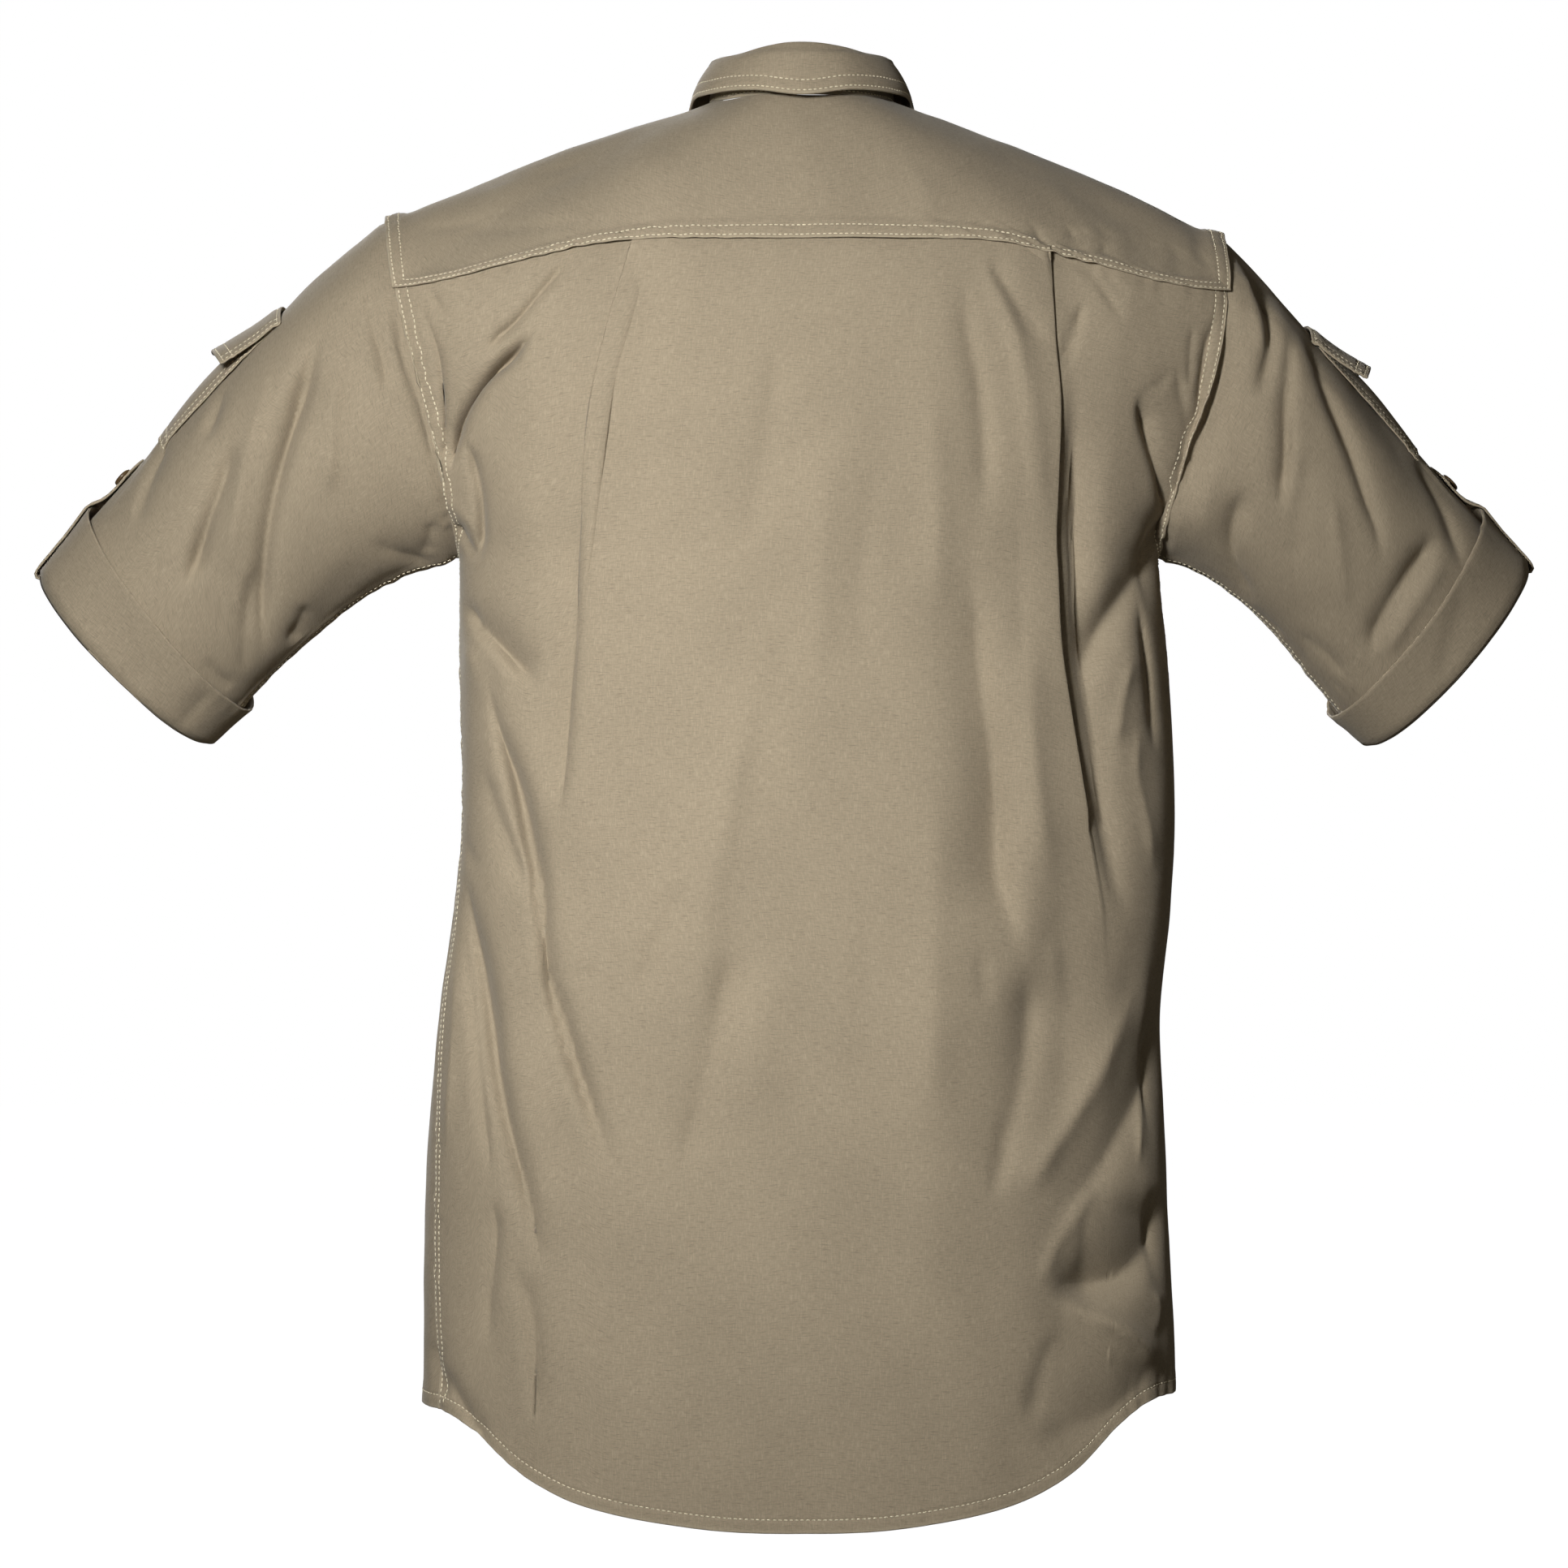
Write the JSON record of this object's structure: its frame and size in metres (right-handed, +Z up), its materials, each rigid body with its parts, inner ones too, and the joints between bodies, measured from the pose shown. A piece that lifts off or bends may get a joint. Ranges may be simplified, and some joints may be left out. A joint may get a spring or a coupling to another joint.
{
  "type": "safari shirt, filled out as worn",
  "caption": "Short-sleeved button-front safari shirt in worn form, with a back yoke, knife pleats, sleeve pockets, turned-up cuffs, roll-up tabs and a shirt-tail hem.",
  "frame": {"origin": "middle of the neck opening, level with the back neck seam, where the wearer's neck holds the shirt", "axes": "+Z up through the neck; the wearer's front faces -Y and the back +Y; the wearer's left side is +X"},
  "size_m": [0.838, 0.2584, 0.8137],
  "materials": {
    "cloth": "matt khaki cotton weave",
    "button": "satin horn-like resin"
  },
  "bodies": {
    "root": {"back": "cloth", "yoke": "cloth", "front_left": "cloth", "front_right": "cloth", "front_band": "cloth", "collar_stand": "cloth", "collar": "cloth", "sleeve_left": "cloth", "sleeve_right": "cloth", "cuff_left": "cloth", "cuff_right": "cloth", "pocket_left": "cloth", "pocket_right": "cloth", "flap_left": "cloth", "flap_right": "cloth", "tab_left": "cloth", "tab_right": "cloth", "tab_button_left": "button", "tab_button_right": "button", "collar_button": "button", "front_button_1": "button", "front_button_2": "button", "front_button_3": "button", "front_button_4": "button", "front_button_5": "button", "front_button_6": "button"}
  },
  "joints": []
}
